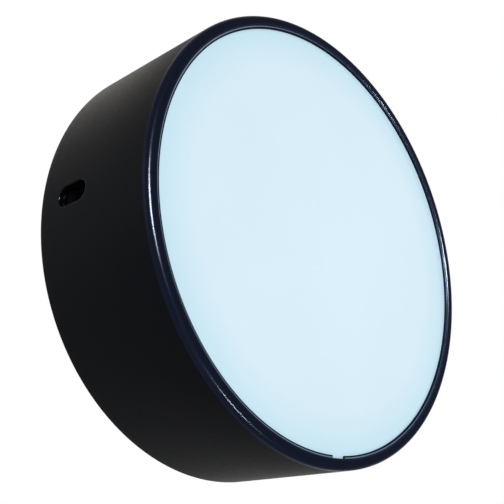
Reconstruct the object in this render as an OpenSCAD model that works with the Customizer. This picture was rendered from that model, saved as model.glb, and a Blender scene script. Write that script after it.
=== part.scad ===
// Round surface-mounted soffit downlight.
// Z = 0 is the soffit, +Z points up into it, and the light shines towards -Z.
// The two latches and release slots lie on -Y and +Y. All sizes are in millimetres.

/* [Drum] */
// Outer diameter of the drum
drum_d = 180; // [170:1:220]
// Height of the drum
drum_h = 60; // [58:0.5:80]
// Thickness of the drum's side wall
wall_t = 2; // [1.6:0.1:2.6]
// Width of the front rim, from the outside to the opening
rim_w = 4.4; // [4.2:0.1:6]
// Radius of the rim's outer edge
rim_round = 2; // [1:0.1:2.4]
// Bevel on the rim's inner edge and on the drum's rear edge
edge_bevel = 0.4; // [0.2:0.1:0.6]
// Gap between the drum's rear edge and the soffit
soffit_gap = 2; // [1.5:0.1:4]

/* [Release slots] */
// Width of a slot, around the drum
slot_w = 7.6; // [6:0.1:8]
// Length of a slot, along the drum
slot_l = 15.5; // [13:0.1:20]
// Wall left between a slot and the drum's rear edge
slot_inset = 10.7; // [9:0.1:12]

/* [Ring and diffuser] */
// Depth of the retaining ring behind the front of the rim
ring_recess = 0.6; // [0.5:0.1:1.5]
// Thickness of the retaining ring
ring_t = 1; // [0.8:0.1:1.6]
// How far the ring shows inside the opening
ring_show = 1; // [0.6:0.1:2]
// How far the ring reaches into its groove
ring_grip = 1.2; // [0.8:0.1:1.3]
// Gap between the two ends of the ring
ring_gap = 7; // [3:0.5:15]
// Direction of that gap, in degrees about +Z
ring_gap_at = 177; // [120:1:240]
// Thickness of the diffuser
diffuser_t = 2.5; // [2:0.1:4]
// Clearance round the diffuser
diffuser_slack = 0.3; // [0.2:0.05:0.6]
// Thickness of the seal behind the diffuser
seal_t = 0.6; // [0.4:0.1:1.5]
// Width of the seal
seal_w = 4; // [3:0.5:5]
// Width of the ledge that carries the seal
ledge_w = 7.6; // [7:0.1:9]
// Thickness of that ledge
ledge_t = 2; // [1.5:0.1:3]

/* [Light engine] */
// Distance from the LED board to the back of the diffuser
optic_depth = 16; // [12:0.5:20]
// Gap between the LED board and the bosses
board_gap = 5; // [4:0.5:8]
// Thickness of the LED board
board_t = 1.6; // [1:0.1:2]
// Thickness of the heat pad behind the board
pad_t = 0.4; // [0.2:0.1:1]
// Thickness of the heat tray
tray_t = 2; // [1.5:0.1:2.5]
// Clearance between the tray and the drum
tray_slack = 1; // [0.8:0.1:1.5]
// Thickness of the reflector's sheet
cup_t = 1; // [0.8:0.1:1.5]
// Length of one LED
led_l = 3.5; // [2.8:0.1:4]
// Width of one LED
led_w = 2.8; // [2:0.1:3.5]
// Height of one LED
led_h = 0.7; // [0.4:0.1:1]
// Distance between rings of LEDs
led_pitch = 14; // [12:0.5:14.5]
// Outer diameter of a boss under the tray
boss_d = 8; // [7:0.5:9]

/* [Driver] */
// Length of the driver's case
driver_l = 96; // [90:1:100]
// Width of the driver's case
driver_w = 42; // [38:1:44]
// Height of the driver's base
base_h = 14; // [12:0.5:15]
// Height of the driver's cover
cover_h = 9; // [8:0.5:10]
// Thickness of the case's walls
case_t = 2; // [1.5:0.1:2.5]
// Height of the posts under the driver's circuit board
post_h = 3; // [2:0.5:5]
// Thickness of the driver's circuit board
circuit_t = 1.6; // [1:0.1:2]
// Height of the transformer
transformer_h = 12; // [10:0.5:12.5]

/* [Terminal block] */
// Distance between the block's poles
pole_pitch = 9; // [8:0.5:10]
// Depth of the block, along its wires
block_l = 16; // [14:0.5:18]
// Height of the block
block_h = 14; // [12:0.5:16]
// Gap between the block and the driver
block_gap = 12; // [10:0.5:14]

/* [Mounting plate] */
// Gap between the plate and the drum's catches
plate_gap = 0.9; // [0.6:0.1:2]
// Thickness of the plate's steel
plate_t = 1.5; // [1.2:0.1:2]
// Thickness of the soffit gasket, and drop of the plate's outer flange
gasket_t = 3; // [2:0.1:3.5]
// Width of the gasket
gasket_w = 9.5; // [6:0.5:10]
// Width of the plate's outer flange
flange_w = 14; // [12:0.5:15]
// Distance from the flange in to the circle of screw holes
fixing_inset = 5; // [4:0.5:10]
// Diameter of a screw hole
fixing_d = 4.5; // [4:0.1:5]
// Distance between the two box slots
box_pitch = 60; // [50:1:64]
// Width of a box slot
box_slot_w = 5; // [4:0.1:6]
// Length of a box slot
box_slot_l = 20; // [12:1:22]
// Bore of the cable grommet
grommet_bore = 9; // [6:0.5:10]
// Hole in the plate for the grommet
grommet_hole = 16; // [15:0.5:18]

/* [Latches] */
// Thickness of the latch bracket's steel
bracket_t = 1.5; // [1.2:0.1:2]
// Length of the bracket, towards the drum's centre
bracket_l = 26; // [25:0.5:30]
// Width of the bolt
bolt_w = 8; // [7:0.5:9]
// Height of the bolt
bolt_h = 6; // [5:0.5:7]
// Clearance round the sliding bolt
bolt_slack = 0.3; // [0.25:0.05:0.4]
// Gap between the bolt's nose and the drum's wall
nose_gap = 0.8; // [0.6:0.1:1.2]
// How far the bolt goes in when it is pressed
press_travel = 3.2; // [3:0.1:3.4]
// Thickness of the catch that hangs on the bolt
catch_t = 4; // [3:0.1:4.5]
// Gap between the pressed bolt and the catch, as the drum comes off
release_gap = 0.9; // [0.5:0.1:1.2]
// Thickness of the cheeks beside the bolt
cheek_t = 2.5; // [2:0.1:3]
// Diameter of the bolt's tail
tail_d = 3.5; // [3:0.1:4]
// Wire of the latch spring
spring_wire = 0.6; // [0.5:0.05:0.7]
// Turns of the latch spring
spring_turns = 5.5; // [4.5:0.5:6]

/* [Screws and leads] */
// Diameter of the small screws
screw_d = 3; // [2.5:0.1:3.5]
// Diameter of the earth stud and screw
earth_d = 4; // [3:0.5:5]
// Diameter of the mains and earth leads
mains_lead_d = 2.4; // [2:0.1:2.8]
// Diameter of the LED leads
led_lead_d = 1.6; // [1.2:0.1:2]

/* [Hidden] */

$fn = 96;
fine = 0.01;           // overlap that lets a cut break through a face
fit = 0.05;            // clearance of a riveted or screwed shank in its hole
seat = 0.3;            // clearance at rest between pieces that move on each other

// Drum
drum_r = drum_d / 2;
bore_r = drum_r - wall_t;
opening_r = drum_r - rim_w;
rear_z = -soffit_gap;
front_z = rear_z - drum_h;

// Ring, diffuser and ledge, from the front backwards
ring_front_z = front_z + ring_recess;
ring_rear_z = ring_front_z + ring_t;
ring_in_r = opening_r - ring_show;
ring_out_r = opening_r + ring_grip;
groove_slack = 0.2;
diffuser_r = opening_r - diffuser_slack;
diffuser_rear_z = ring_rear_z + diffuser_t;
seal_rear_z = diffuser_rear_z + seal_t;
ledge_rear_z = seal_rear_z + ledge_t;
ledge_r = opening_r - ledge_w;
seal_out_r = diffuser_r - 0.5;

// Light engine
board_front_z = diffuser_rear_z + optic_depth;
board_rear_z = board_front_z + board_t;
tray_front_z = board_rear_z + pad_t;
tray_rear_z = tray_front_z + tray_t;
tray_r = bore_r - tray_slack;
boss_at = bore_r - boss_d / 2;
boss_hole_l = 7;
board_r = boss_at - boss_d / 2 - board_gap;
cup_flange_r = boss_at - boss_d / 2 - seat;
cup_margin = 5;
cup_top_r = board_r - cup_margin;
led_hole_inset = 12;
led_hole_at = board_r - led_hole_inset;
led_hole_d = 6.4;
led_rings = floor((led_hole_at - led_hole_d / 2 - led_l) / led_pitch);
board_screw_at = led_pitch * 2.5;

// Screws: head diameter and height follow the shank
function head_d(d) = d * 1.85;
function head_h(d) = d * 0.65;

// Driver, standing on the tray
case_floor_z = tray_rear_z + case_t;
case_split_z = tray_rear_z + base_h;
circuit_z = case_floor_z + post_h;
parts_z = circuit_z + circuit_t;
case_inner_l = driver_l - 2 * case_t;
case_inner_w = driver_w - 2 * case_t;
circuit_slack = 0.5;
ear_l = 9;
ear_w = 11;
ear_inset = 12;
ear_x = driver_l / 2 - ear_inset;
core_x = 4;
core_l = 20;
core_w = 12;
limb_l = 4;
yoke_t = 3;

// Terminal block
poles = 3;
block_w = poles * pole_pitch + 3;
block_x = -driver_l / 2 - block_gap - block_l / 2;
wire_z = tray_rear_z + block_h * 0.4;
block_flange_h = 3;
block_ear_l = 8;
block_ear_w = 9;
screw_well_d = 5;
clamp_d = 5;

// Bolt nose, catch and mounting plate, from the drum's wall inwards
nose_x = bore_r - nose_gap;
catch_r = nose_x - press_travel + release_gap;
catch_reach = bore_r - catch_r;
plate_r = catch_r - plate_gap;
flange_top_z = -gasket_t;
flange_low_z = flange_top_z - plate_t;
flange_in_r = plate_r - flange_w;
fixing_r = flange_in_r - fixing_inset;
gasket_out_r = plate_r - 0.5;
grommet_at = [-38, 34];
stud_at = [-38, -34];
well_margin = 5;
well_d = grommet_hole + 2 * well_margin;
well_depth = 2;

// Release slot, catch and latch; the latches lie on the +X axis before they are turned
slot_top_z = rear_z - slot_inset;
slot_low_z = slot_top_z - slot_l;
catch_low_z = slot_top_z + 0.4;
cheek_in = bolt_w / 2 + 0.4;
cheek_low_z = catch_low_z - seat - bolt_h - 2;
bracket_x = plate_r - 2;
bracket_back_x = bracket_x - bracket_l;
bracket_top_z = flange_low_z;
bracket_web_z = bracket_top_z - bracket_t;
bolt_top_z = catch_low_z - seat;
bolt_low_z = bolt_top_z - bolt_h;
bolt_mid_z = bolt_top_z - bolt_h / 2;
bracket_low_z = bolt_low_z - bolt_slack - 2;
bracket_half_w = bolt_w / 2 + bolt_slack + 3;
spring_l = 8.5;
shoulder_x = bracket_back_x + bracket_t + spring_l;
clip_t = 0.8;
clip_out_x = bracket_back_x - seat;
tail_end_x = clip_out_x - clip_t - 1.2;
clip_bore_d = tail_d * 0.72;
rivet_d = 3;
rivet_w = bracket_half_w + 4;
rivet_inset = 5;
rivet_x = bracket_x - rivet_inset;
rivet_tab_w = 8;
LATCH_TURNS = [-90, 90];

// Leads: each route runs through a few chosen points, and straight through the holes at its ends
lead_z = tray_rear_z + 8;
live_y = -pole_pitch;
earth_y = pole_pitch;
block_face_x = block_x + block_l / 2;
driver_end_x = driver_l / 2;
lead_in = case_t - 0.2;      // how far a lead reaches into the driver's wall
lead_out = 4;                // how far it runs straight outside
mains_out_y = pole_pitch - 1;
led_out_y = 3;
led_drop_y = led_hole_d / 4;
tag_t = 0.8;
tag_l = 7.5;
tag_z = tray_rear_z + 2;
tag_at = [block_face_x + 7, driver_w / 2 + tag_l + 1.5];
live_route = [[block_x, live_y, wire_z], [block_face_x, live_y, wire_z],
    [block_face_x + lead_out, live_y, wire_z + 0.5], [-driver_end_x - lead_out, -mains_out_y, lead_z],
    [-driver_end_x, -mains_out_y, lead_z], [-driver_end_x + lead_in, -mains_out_y, lead_z]];
neutral_route = [[block_x, 0, wire_z], [block_face_x, 0, wire_z],
    [block_face_x + lead_out, 0, wire_z + 0.5], [-driver_end_x - lead_out, 0, lead_z],
    [-driver_end_x, 0, lead_z], [-driver_end_x + lead_in, 0, lead_z]];
earth_route = [[block_x, earth_y, wire_z], [block_face_x, earth_y, wire_z],
    [block_face_x + lead_out, earth_y + 1, wire_z + 0.5],
    [block_face_x + lead_out + 2.5, tag_at[1] - 2 * tag_l, wire_z],
    [tag_at[0], tag_at[1] - tag_l - 3.5, tag_z], [tag_at[0], tag_at[1] - tag_l - 1.5, tag_z],
    [tag_at[0], tag_at[1] - tag_l, tag_z]];

// One LED lead, on the side of the hole that side = -1 or 1 gives
function led_route(side) = [[driver_end_x - lead_in, side * led_out_y, lead_z],
    [driver_end_x, side * led_out_y, lead_z], [driver_end_x + 3, side * led_out_y, lead_z],
    [led_hole_at - 4, side * 2, lead_z - 1.5], [led_hole_at, side * led_drop_y, tray_rear_z + 3],
    [led_hole_at, side * led_drop_y, tray_rear_z], [led_hole_at, side * led_drop_y, board_front_z]];

// ---- Curves ----

// A point between b and c on the smooth curve through a, b, c and d
function curve_point(a, b, c, d, t) =
    0.5 * (2 * b + (c - a) * t + (2 * a - 5 * b + 4 * c - d) * t * t
        + (3 * b - a - 3 * c + d) * t * t * t);

// The smooth curve through a route's points, with several steps between each pair
function smooth(route, steps) = let (n = len(route)) [
    for (i = [0 : n - 2]) for (k = [0 : steps - (i == n - 2 ? 0 : 1)])
        curve_point(route[max(i - 1, 0)], route[i], route[i + 1], route[min(i + 2, n - 1)], k / steps)];

// A direction of length one
function unit(v) = v / norm(v);

// The direction of a line of points at its point i
function heading(line, i) = unit(line[min(i + 1, len(line) - 1)] - line[max(i - 1, 0)]);

// A closed tube of diameter d along a line of points; level is a direction it never runs along
module tube(line, d, level, sides = 8) {
    rings = len(line);
    points = [for (i = [0 : rings - 1])
        let (ahead = heading(line, i), right = unit(cross(ahead, level)), up = cross(right, ahead))
        for (k = [0 : sides - 1])
            line[i] + d / 2 * (cos(360 * k / sides) * right + sin(360 * k / sides) * up)];
    skin = [for (i = [0 : rings - 2]) for (k = [0 : sides - 1])
        let (a = i * sides + k, b = i * sides + (k + 1) % sides)
        each [[a, b, b + sides], [a, b + sides, a + sides]]];
    start = [for (k = [sides - 1 : -1 : 0]) k];
    end = [for (k = [0 : sides - 1]) (rings - 1) * sides + k];
    polyhedron(points = points, faces = concat([start, end], skin), convexity = 6);
}

// ---- Shared shapes ----

// Four places round the axis, for the tray's bosses and screws
module at_bosses() {
    for (a = [45 : 90 : 315]) rotate([0, 0, a]) children();
}

// Turns a latch's pieces from +X to the side of latch i, 0 or 1
module at_latch(i) {
    rotate([0, 0, LATCH_TURNS[i]]) children();
}

// A pan-head screw with a cross recess, pointing down from z = 0 under its head
module pan_screw(d, length) {
    difference() {
        union() {
            translate([0, 0, -length]) cylinder(d = d, h = length, $fn = 32);
            cylinder(d1 = head_d(d), d2 = head_d(d) * 0.8, h = head_h(d), $fn = 48);
        }
        for (a = [0, 90]) rotate([0, 0, a])
            translate([-d * 0.5, -d * 0.11, head_h(d) * 0.4]) cube([d, d * 0.22, head_h(d)]);
    }
}

// A slot with round ends, cut along X through a sheet
module slot_cut(w, l, h) {
    for (side = [-1, 1]) translate([side * (l - w) / 2, 0, 0]) cylinder(d = w, h = h, $fn = 48);
    translate([-(l - w) / 2, -w / 2, 0]) cube([l - w, w, h]);
}

// ---- Mounting plate and what is fixed to it ----

module mounting_plate() {
    color("gainsboro") difference() {
        union() {
            rotate_extrude() polygon([[0, 0], [flange_in_r + plate_t, 0],
                [flange_in_r + plate_t, flange_top_z], [plate_r, flange_top_z],
                [plate_r, flange_low_z], [flange_in_r, flange_low_z], [flange_in_r, -plate_t],
                [0, -plate_t]]);
            translate([grommet_at[0], grommet_at[1], -well_depth - plate_t])
                cylinder(d = well_d + 2 * plate_t, h = well_depth + plate_t / 2);
        }
        translate([grommet_at[0], grommet_at[1], -well_depth])
            cylinder(d = well_d, h = well_depth + fine);
        translate([grommet_at[0], grommet_at[1], -well_depth - plate_t - fine])
            cylinder(d = grommet_hole, h = plate_t + 2 * fine);
        for (a = [0 : 120 : 240]) rotate([0, 0, a])
            translate([fixing_r, 0, -plate_t - fine])
                cylinder(d = fixing_d, h = plate_t + 2 * fine);
        for (side = [-1, 1]) translate([side * box_pitch / 2, 0, -plate_t - fine])
            slot_cut(box_slot_w, box_slot_l, plate_t + 2 * fine);
        for (i = [0, 1]) at_latch(i) rivet_holes(flange_low_z - fine, plate_t + 2 * fine);
    }
}

module rivet_holes(z, h) {
    for (side = [-1, 1]) translate([rivet_x, side * rivet_w, z])
        cylinder(d = rivet_d + 2 * fit, h = h, $fn = 32);
}

module soffit_gasket() {
    color("dimgray") translate([0, 0, flange_top_z]) difference() {
        cylinder(r = gasket_out_r, h = gasket_t);
        translate([0, 0, -fine]) cylinder(r = gasket_out_r - gasket_w, h = gasket_t + 2 * fine);
    }
}

// Rubber grommet, seated in the plate's well
module cable_grommet() {
    lip_t = 1.5;
    spout_l = 3;
    top_z = -well_depth + lip_t;
    low_z = -well_depth - plate_t;
    color("#222222") translate([grommet_at[0], grommet_at[1], 0]) rotate_extrude()
        polygon([[grommet_bore / 2, top_z], [grommet_hole / 2 + 2.5, top_z],
            [grommet_hole / 2 + 2.5, -well_depth], [grommet_hole / 2 - fit, -well_depth],
            [grommet_hole / 2 - fit, low_z], [grommet_hole / 2 + 2, low_z],
            [grommet_hole / 2 + 1, low_z - lip_t], [grommet_bore / 2 + 1.2, low_z - lip_t - spout_l],
            [grommet_bore / 2, low_z - lip_t - spout_l]]);
}

// Earth stud, welded under the plate
module earth_stud() {
    stud_l = 9;
    color("#c8a951") translate([stud_at[0], stud_at[1], -plate_t - stud_l]) {
        cylinder(d = earth_d, h = stud_l, $fn = 48);
        translate([0, 0, stud_l - 1]) cylinder(d = earth_d + 3, h = 1, $fn = 48);
    }
}

module earth_nut() {
    nut_h = earth_d * 0.8;
    color("#d8b860") translate([stud_at[0], stud_at[1], -plate_t - 1 - nut_h]) difference() {
        cylinder(d = earth_d * 2, h = nut_h, $fn = 6);
        translate([0, 0, -fine]) cylinder(d = earth_d + 2 * fit, h = nut_h + 2 * fine, $fn = 48);
    }
}

// Folded bracket of black-plated steel that guides one bolt
module latch_bracket(i) {
    color("#1c1c1e") at_latch(i) difference() {
        union() {
            translate([bracket_back_x, -bracket_half_w, bracket_web_z])
                cube([bracket_l, 2 * bracket_half_w, bracket_t]);
            translate([rivet_x - rivet_tab_w / 2, -rivet_w - rivet_tab_w / 2, bracket_web_z])
                cube([rivet_tab_w, 2 * rivet_w + rivet_tab_w, bracket_t]);
            for (x = [bracket_back_x, bracket_x - bracket_t])
                translate([x, -bracket_half_w, bracket_low_z])
                    cube([bracket_t, 2 * bracket_half_w, bracket_top_z - bracket_low_z]);
        }
        translate([bracket_x - bracket_t - 1, -bolt_w / 2 - bolt_slack, bolt_low_z - bolt_slack])
            cube([bracket_t + 2, bolt_w + 2 * bolt_slack, bolt_h + 2 * bolt_slack]);
        translate([bracket_back_x - 1, 0, bolt_mid_z]) rotate([0, 90, 0])
            cylinder(d = tail_d + 2 * fit, h = bracket_t + 2, $fn = 48);
        rivet_holes(bracket_web_z - fine, bracket_t + 2 * fine);
    }
}

// Rivets that hold the brackets, flush under the gasket
module bracket_rivets() {
    color("silver") for (i = [0, 1]) at_latch(i) for (side = [-1, 1])
        translate([rivet_x, side * rivet_w, 0]) {
            translate([0, 0, bracket_web_z]) cylinder(d = rivet_d, h = plate_t + bracket_t, $fn = 32);
            translate([0, 0, bracket_web_z - 1])
                cylinder(d1 = rivet_d * 1.3, d2 = rivet_d * 1.8, h = 1, $fn = 32);
        }
}

// ---- Latches ----

// Black bolt: flat on top where the catch hangs on it, sloped underneath for the drum to ride over
module latch_bolt(i) {
    nose_h = 2;
    slope_l = 4;
    color("#1a1a1a") at_latch(i) {
        translate([0, bolt_w / 2, 0]) rotate([90, 0, 0]) linear_extrude(bolt_w)
            polygon([[shoulder_x, bolt_top_z], [nose_x, bolt_top_z], [nose_x, bolt_top_z - nose_h],
                [nose_x - slope_l, bolt_low_z], [shoulder_x, bolt_low_z]]);
        translate([tail_end_x, 0, bolt_mid_z]) rotate([0, 90, 0]) difference() {
            cylinder(d = tail_d, h = shoulder_x - tail_end_x + 1, $fn = 48);
            translate([0, 0, clip_out_x - clip_t - tail_end_x]) difference() {
                cylinder(d = tail_d + 2, h = clip_t, $fn = 48);
                translate([0, 0, -fine]) cylinder(d = clip_bore_d, h = clip_t + 2 * fine, $fn = 48);
            }
        }
    }
}

// Open clip that stops the bolt at the bracket
module latch_clip(i) {
    color("#707070") at_latch(i) translate([clip_out_x - clip_t, 0, bolt_mid_z]) rotate([0, 90, 0])
        difference() {
            cylinder(d = tail_d * 2, h = clip_t, $fn = 48);
            translate([0, 0, -fine]) cylinder(d = clip_bore_d + 2 * fit, h = clip_t + 2 * fine, $fn = 48);
            translate([0, -clip_bore_d * 0.4, -fine])
                cube([tail_d * 2, clip_bore_d * 0.8, clip_t + 2 * fine]);
        }
}

// Centre line of the latch spring, wound round the bolt's tail
spring_r = tail_d / 2 + spring_wire / 2 + 0.35;
curl_steps = 8;
spring_line = [for (k = [0 : curl_steps * spring_turns])
    let (t = k / (curl_steps * spring_turns), a = 360 * k / curl_steps)
    [bracket_back_x + bracket_t + spring_wire * 0.6 + (spring_l - spring_wire * 1.2) * t,
        spring_r * cos(a), bolt_mid_z + spring_r * sin(a)]];
spring_gap = min([for (i = [0 : len(spring_line) - 1]) for (j = [i + 5 : 1 : len(spring_line) - 1])
    norm(spring_line[i] - spring_line[j])]) - spring_wire;
echo(str("least gap between the spring's turns: ", spring_gap, " mm"));

module latch_spring(i) {
    color("#b8b8b8") at_latch(i) tube(spring_line, spring_wire, [1, 0, 0], 6);
}

// ---- Drum, ring and diffuser ----

// Half section of the drum's wall, rim and ledge
module drum_section() {
    difference() {
        union() {
            translate([bore_r, front_z]) square([wall_t, drum_h]);
            translate([opening_r, front_z]) square([rim_w, ledge_rear_z - front_z]);
            translate([ledge_r, seal_rear_z]) square([ledge_w + 1, ledge_t]);
        }
        translate([opening_r - 1, ring_front_z])
            square([ring_grip + groove_slack + 1, ring_t + groove_slack]);
        translate([drum_r - rim_round, front_z + rim_round]) difference() {
            translate([0, -rim_round - 1]) square([rim_round + 1, rim_round + 1]);
            circle(r = rim_round, $fn = 96);
        }
        polygon([[opening_r - 1, front_z - 1], [opening_r + edge_bevel + 1, front_z - 1],
            [opening_r - 1, front_z + edge_bevel + 1]]);
        polygon([[drum_r + 1, rear_z + 1], [drum_r - edge_bevel - 1, rear_z + 1],
            [drum_r + 1, rear_z - edge_bevel - 1]]);
    }
}

// Catch that hangs on the bolt, with a cheek on each side that stops the drum turning
module catch_block() {
    outer = cheek_in + cheek_t;
    translate([catch_r, -outer, catch_low_z]) cube([catch_reach + wall_t / 2, 2 * outer, catch_t]);
    for (side = [-1, 1]) translate([catch_r, side > 0 ? cheek_in : -outer, cheek_low_z])
        cube([catch_reach + wall_t / 2, cheek_t, catch_low_z + 1 - cheek_low_z]);
}

module drum_housing() {
    color("#1c1c1d") difference() {
        union() {
            rotate_extrude($fn = 180) drum_section();
            for (i = [0, 1]) at_latch(i) catch_block();
            at_bosses() {
                translate([boss_at, 0, ledge_rear_z - 0.5])
                    cylinder(d = boss_d, h = tray_front_z - ledge_rear_z + 0.5, $fn = 48);
                translate([boss_at, -boss_d * 0.4, ledge_rear_z - 0.5])
                    cube([boss_d / 2 + wall_t / 2, boss_d * 0.8, tray_front_z - ledge_rear_z + 0.5]);
            }
        }
        for (i = [0, 1]) at_latch(i)
            translate([bore_r - 1, 0, (slot_top_z + slot_low_z) / 2]) rotate([0, 90, 0])
                slot_cut(slot_w, slot_l, wall_t + 2);
        at_bosses() translate([boss_at, 0, tray_front_z - boss_hole_l])
            cylinder(d = screw_d + 2 * fit, h = boss_hole_l + 1, $fn = 32);
    }
}

// Sprung ring, split so that it can be squeezed into its groove
module retaining_ring() {
    half_gap = ring_gap / 2;
    color("black") difference() {
        translate([0, 0, ring_front_z]) cylinder(r = ring_out_r, h = ring_t, $fn = 180);
        translate([0, 0, ring_front_z - fine]) cylinder(r = ring_in_r, h = ring_t + 2 * fine, $fn = 180);
        rotate([0, 0, ring_gap_at]) translate([0, -half_gap, ring_front_z - 1])
            cube([drum_r, ring_gap, ring_t + 2]);
    }
}

module diffuser() {
    color([0.85, 0.93, 0.97]) translate([0, 0, ring_rear_z])
        cylinder(r = diffuser_r, h = diffuser_t, $fn = 180);
}

module diffuser_seal() {
    color("#e8e8e4") translate([0, 0, diffuser_rear_z]) difference() {
        cylinder(r = seal_out_r, h = seal_t, $fn = 180);
        translate([0, 0, -fine]) cylinder(r = seal_out_r - seal_w, h = seal_t + 2 * fine, $fn = 180);
    }
}

// ---- Light engine ----

module reflector_cup() {
    color("white") rotate_extrude($fn = 180) polygon([[ledge_r, ledge_rear_z],
        [cup_flange_r, ledge_rear_z], [cup_flange_r, ledge_rear_z + cup_t],
        [ledge_r + cup_t, ledge_rear_z + cup_t], [cup_top_r + cup_t, board_front_z],
        [cup_top_r, board_front_z]]);
}

// Places of the screws that hold the LED board
module at_board_screws() {
    for (a = [45 : 90 : 315]) rotate([0, 0, a]) translate([board_screw_at, 0, 0]) children();
}

// A flat disc with the lead hole and the screw holes
module engine_disc(r, z, h, hole_d) {
    difference() {
        translate([0, 0, z]) cylinder(r = r, h = h, $fn = 180);
        translate([led_hole_at, 0, z - fine]) cylinder(d = led_hole_d, h = h + 2 * fine, $fn = 48);
        at_board_screws() translate([0, 0, z - fine]) cylinder(d = hole_d, h = h + 2 * fine, $fn = 32);
    }
}

module led_board() {
    color("#f2f2ee") engine_disc(board_r, board_front_z, board_t, screw_d + 2 * fit);
}

module thermal_pad() {
    color("#9fb4c4") engine_disc(board_r - 1, board_rear_z, pad_t, screw_d + 1);
}

module led_chips() {
    color("#f5e08a") for (ring = [1 : led_rings]) {
        count = ring * 6;
        for (k = [0 : count - 1]) rotate([0, 0, (k + 0.5) * 360 / count])
            translate([ring * led_pitch - led_l / 2, -led_w / 2, board_front_z - led_h])
                cube([led_l, led_w, led_h]);
    }
}

// Socket on the board's face, over the hole that the leads come through
module led_connector() {
    connector_l = 7.6;
    connector_w = 9;
    connector_h = 4;
    color("white")
        translate([led_hole_at - connector_l / 2, -connector_w / 2, board_front_z - connector_h])
            cube([connector_l, connector_w, connector_h]);
}

module board_screws() {
    color("silver") at_board_screws() translate([0, 0, board_front_z]) mirror([0, 0, 1])
        pan_screw(screw_d, board_t + pad_t + tray_t);
}

module heat_tray() {
    notch_w = 2 * (cheek_in + cheek_t) + 3;
    notch_x = catch_r - 0.8;
    color("#b9bcc0") difference() {
        engine_disc(tray_r, tray_front_z, tray_t, screw_d + 2 * fit);
        for (i = [0, 1]) at_latch(i) translate([notch_x, -notch_w / 2, tray_front_z - 1])
            cube([tray_r, notch_w, tray_t + 2]);
        at_bosses() translate([boss_at, 0, tray_front_z - fine])
            cylinder(d = screw_d + 2 * fit, h = tray_t + 2 * fine, $fn = 32);
        driver_screw_places() translate([0, 0, tray_front_z - fine])
            cylinder(d = screw_d + 2 * fit, h = tray_t + 2 * fine, $fn = 32);
        block_screw_places() translate([0, 0, tray_front_z - fine])
            cylinder(d = screw_d + 2 * fit, h = tray_t + 2 * fine, $fn = 32);
        translate([tag_at[0], tag_at[1], tray_front_z - fine])
            cylinder(d = earth_d + 2 * fit, h = tray_t + 2 * fine, $fn = 32);
    }
}

module tray_screws() {
    color("silver") at_bosses() translate([boss_at, 0, tray_rear_z])
        pan_screw(screw_d, tray_t + boss_hole_l - 1);
}

// ---- Driver ----

module driver_screw_places() {
    for (side = [-1, 1]) translate([side * ear_x, -side * (driver_w / 2 + ear_l / 2), 0]) children();
}

// Case base with its ears, board posts and a lip that centres the cover
module driver_base() {
    lip_h = 1.5;
    lip_t = 0.8;
    post_d = 4;
    color("#3b3b3d") difference() {
        union() {
            difference() {
                translate([-driver_l / 2, -driver_w / 2, tray_rear_z]) cube([driver_l, driver_w, base_h]);
                translate([-case_inner_l / 2, -case_inner_w / 2, case_floor_z])
                    cube([case_inner_l, case_inner_w, base_h]);
            }
            difference() {
                translate([-case_inner_l / 2 - case_t / 2, -case_inner_w / 2 - case_t / 2, case_split_z - 1])
                    cube([case_inner_l + case_t, case_inner_w + case_t, lip_h + 1]);
                translate([-case_inner_l / 2, -case_inner_w / 2, case_floor_z])
                    cube([case_inner_l, case_inner_w, base_h + lip_h]);
            }
            for (x = [-1, 1]) for (y = [-1, 1])
                translate([x * (case_inner_l / 2 - 4), y * (case_inner_w / 2 - 4), case_floor_z - 0.5])
                    cylinder(d = post_d, h = post_h + 0.5, $fn = 32);
            for (side = [-1, 1])
                translate([side * ear_x - ear_w / 2, side > 0 ? -driver_w / 2 - ear_l : driver_w / 2 - 1,
                    tray_rear_z]) cube([ear_w, ear_l + 1, case_t]);
        }
        driver_screw_places() translate([0, 0, tray_rear_z - 1])
            cylinder(d = screw_d + 2 * fit, h = case_t + 2, $fn = 32);
        for (y = [-mains_out_y, 0]) translate([-driver_l / 2 - 1, y, lead_z]) rotate([0, 90, 0])
            cylinder(d = mains_lead_d + 2 * fit, h = case_t + 2, $fn = 32);
        for (y = [-led_out_y, led_out_y]) translate([case_inner_l / 2 - 1, y, lead_z]) rotate([0, 90, 0])
            cylinder(d = led_lead_d + 2 * fit, h = case_t + 2, $fn = 32);
    }
}

module driver_cover() {
    groove_slack = 0.15;
    lip_h = 1.5;
    color("#454547") difference() {
        translate([-driver_l / 2, -driver_w / 2, case_split_z]) cube([driver_l, driver_w, cover_h]);
        translate([-case_inner_l / 2, -case_inner_w / 2, case_split_z - 1])
            cube([case_inner_l, case_inner_w, cover_h - case_t + 1]);
        translate([-case_inner_l / 2 - case_t / 2 - groove_slack,
            -case_inner_w / 2 - case_t / 2 - groove_slack, case_split_z - 1])
            cube([case_inner_l + case_t + 2 * groove_slack, case_inner_w + case_t + 2 * groove_slack,
                lip_h + groove_slack + 1]);
    }
}

module driver_circuit_board() {
    color("#2f6b3c")
        translate([-case_inner_l / 2 + circuit_slack, -case_inner_w / 2 + circuit_slack, circuit_z])
            cube([case_inner_l - 2 * circuit_slack, case_inner_w - 2 * circuit_slack, circuit_t]);
}

// Ferrite core of the transformer, open in the middle for its winding
module driver_transformer() {
    color("#33363a") translate([core_x, 0, parts_z]) difference() {
        translate([-core_l / 2, -core_w / 2, 0]) cube([core_l, core_w, transformer_h]);
        translate([-core_l / 2 + limb_l, -core_w / 2 - 1, yoke_t])
            cube([core_l - 2 * limb_l, core_w + 2, transformer_h - 2 * yoke_t]);
    }
}

module transformer_winding() {
    winding_w = core_w + 4;
    color("#d8a53c") translate([core_x - core_l / 2 + limb_l, -winding_w / 2, parts_z + yoke_t])
        cube([core_l - 2 * limb_l, winding_w, transformer_h - 2 * yoke_t]);
}

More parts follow.
